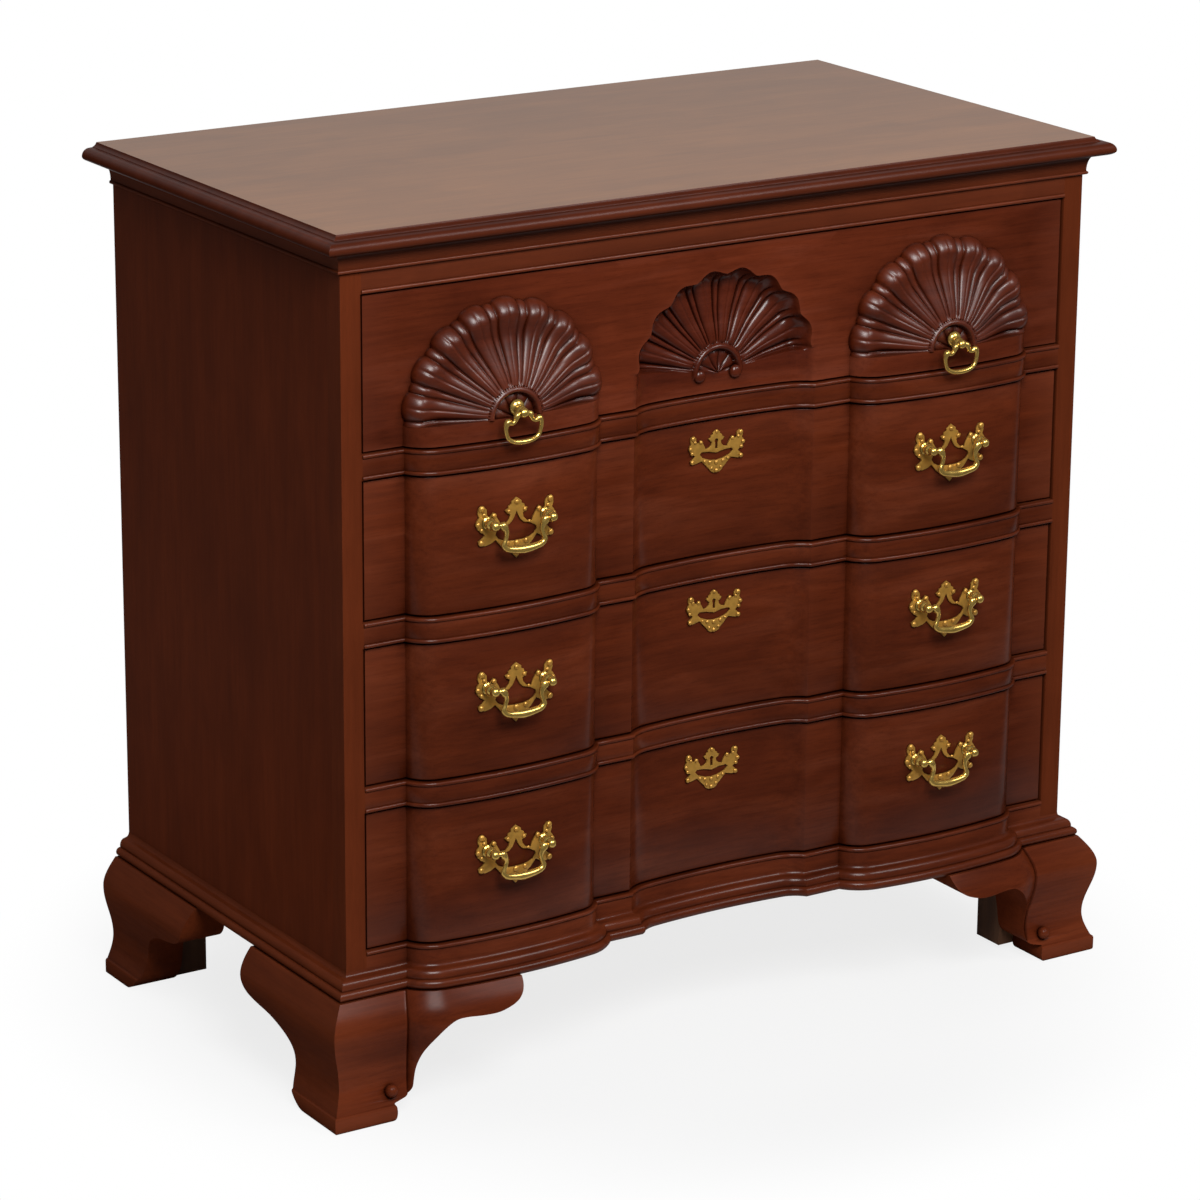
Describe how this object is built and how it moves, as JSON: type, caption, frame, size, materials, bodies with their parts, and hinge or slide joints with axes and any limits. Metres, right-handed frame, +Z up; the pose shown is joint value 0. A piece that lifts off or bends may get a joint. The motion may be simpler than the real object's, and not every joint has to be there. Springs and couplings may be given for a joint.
{
  "type": "block front chest of drawers",
  "caption": "Block front chest of drawers with carved shells on the top drawer, ogee bracket feet and pierced brass pulls with swinging bails",
  "frame": {"origin": "on the floor under the centre of the overall box", "axes": "+X runs along the width to the chest's right as seen from the front, +Y to its back, +Z up; the drawers open towards -Y"},
  "size_m": [0.9242, 0.5326, 0.876],
  "materials": {
    "mahogany": "satin lacquer",
    "inner_wood": "raw, planed",
    "brass": "polished, toned"
  },
  "bodies": {
    "chest_case": {"top_board": "mahogany", "top_moulding_front": "mahogany", "top_moulding_left": "mahogany", "top_moulding_right": "mahogany", "side_panel_left": "mahogany", "side_panel_right": "mahogany", "stile_left": "mahogany", "stile_right": "mahogany", "top_rail": "mahogany", "divider_rail_1": "mahogany", "divider_rail_2": "mahogany", "divider_rail_3": "mahogany", "bottom_rail": "mahogany", "back_panel": "inner_wood", "bottom_board": "inner_wood", "drawer_runners": "inner_wood", "drawer_kickers": "inner_wood", "drawer_guides": "inner_wood", "rear_rails": "inner_wood", "dust_panels": "inner_wood", "drawer_stops": "inner_wood", "base_moulding_front": "mahogany", "base_moulding_left": "mahogany", "base_moulding_right": "mahogany", "foot_front_left_face": "mahogany", "foot_front_left_side": "mahogany", "foot_front_right_face": "mahogany", "foot_front_right_side": "mahogany", "foot_rear_left_side": "mahogany", "foot_rear_left_back": "inner_wood", "foot_rear_right_side": "mahogany", "foot_rear_right_back": "inner_wood", "foot_glue_blocks": "inner_wood"},
    "drawer_1": {"drawer_1_front": "mahogany", "drawer_1_box": "inner_wood", "drawer_1_bottom": "inner_wood", "drawer_1_shell_left": "mahogany", "drawer_1_shell_right": "mahogany", "drawer_1_brasses": "brass"},
    "drawer_1_bail_left": {"drawer_1_bail_left": "brass"},
    "drawer_1_bail_right": {"drawer_1_bail_right": "brass"},
    "drawer_2": {"drawer_2_front": "mahogany", "drawer_2_box": "inner_wood", "drawer_2_bottom": "inner_wood", "drawer_2_brasses": "brass"},
    "drawer_2_bail_left": {"drawer_2_bail_left": "brass"},
    "drawer_2_bail_right": {"drawer_2_bail_right": "brass"},
    "drawer_3": {"drawer_3_front": "mahogany", "drawer_3_box": "inner_wood", "drawer_3_bottom": "inner_wood", "drawer_3_brasses": "brass"},
    "drawer_3_bail_left": {"drawer_3_bail_left": "brass"},
    "drawer_3_bail_right": {"drawer_3_bail_right": "brass"},
    "drawer_4": {"drawer_4_front": "mahogany", "drawer_4_box": "inner_wood", "drawer_4_bottom": "inner_wood", "drawer_4_brasses": "brass"},
    "drawer_4_bail_left": {"drawer_4_bail_left": "brass"},
    "drawer_4_bail_right": {"drawer_4_bail_right": "brass"}
  },
  "joints": [
    {"name": "drawer_1_slide", "type": "slide", "parent": "chest_case", "child": "drawer_1", "axis": [0, -1, 0], "range_m": [0, 0.3]},
    {"name": "drawer_1_bail_left_hinge", "type": "hinge", "parent": "drawer_1", "child": "drawer_1_bail_left", "pos_m": [-0.2555, -0.24672, 0.6907], "axis": [-1, 0, 0], "range_deg": [-10, 180]},
    {"name": "drawer_1_bail_right_hinge", "type": "hinge", "parent": "drawer_1", "child": "drawer_1_bail_right", "pos_m": [0.2555, -0.24672, 0.6907], "axis": [-1, 0, 0], "range_deg": [-10, 180]},
    {"name": "drawer_2_slide", "type": "slide", "parent": "chest_case", "child": "drawer_2", "axis": [0, -1, 0], "range_m": [0, 0.3]},
    {"name": "drawer_2_bail_left_hinge", "type": "hinge", "parent": "drawer_2", "child": "drawer_2_bail_left", "pos_m": [-0.2555, -0.2487, 0.5848], "axis": [-1, 0, 0], "range_deg": [-15, 180]},
    {"name": "drawer_2_bail_right_hinge", "type": "hinge", "parent": "drawer_2", "child": "drawer_2_bail_right", "pos_m": [0.2555, -0.2487, 0.5848], "axis": [-1, 0, 0], "range_deg": [-15, 180]},
    {"name": "drawer_3_slide", "type": "slide", "parent": "chest_case", "child": "drawer_3", "axis": [0, -1, 0], "range_m": [0, 0.3]},
    {"name": "drawer_3_bail_left_hinge", "type": "hinge", "parent": "drawer_3", "child": "drawer_3_bail_left", "pos_m": [-0.2555, -0.2487, 0.4206], "axis": [-1, 0, 0], "range_deg": [-15, 180]},
    {"name": "drawer_3_bail_right_hinge", "type": "hinge", "parent": "drawer_3", "child": "drawer_3_bail_right", "pos_m": [0.2555, -0.2487, 0.4206], "axis": [-1, 0, 0], "range_deg": [-15, 180]},
    {"name": "drawer_4_slide", "type": "slide", "parent": "chest_case", "child": "drawer_4", "axis": [0, -1, 0], "range_m": [0, 0.3]},
    {"name": "drawer_4_bail_left_hinge", "type": "hinge", "parent": "drawer_4", "child": "drawer_4_bail_left", "pos_m": [-0.2555, -0.2487, 0.2555], "axis": [-1, 0, 0], "range_deg": [-15, 180]},
    {"name": "drawer_4_bail_right_hinge", "type": "hinge", "parent": "drawer_4", "child": "drawer_4_bail_right", "pos_m": [0.2555, -0.2487, 0.2555], "axis": [-1, 0, 0], "range_deg": [-15, 180]}
  ]
}
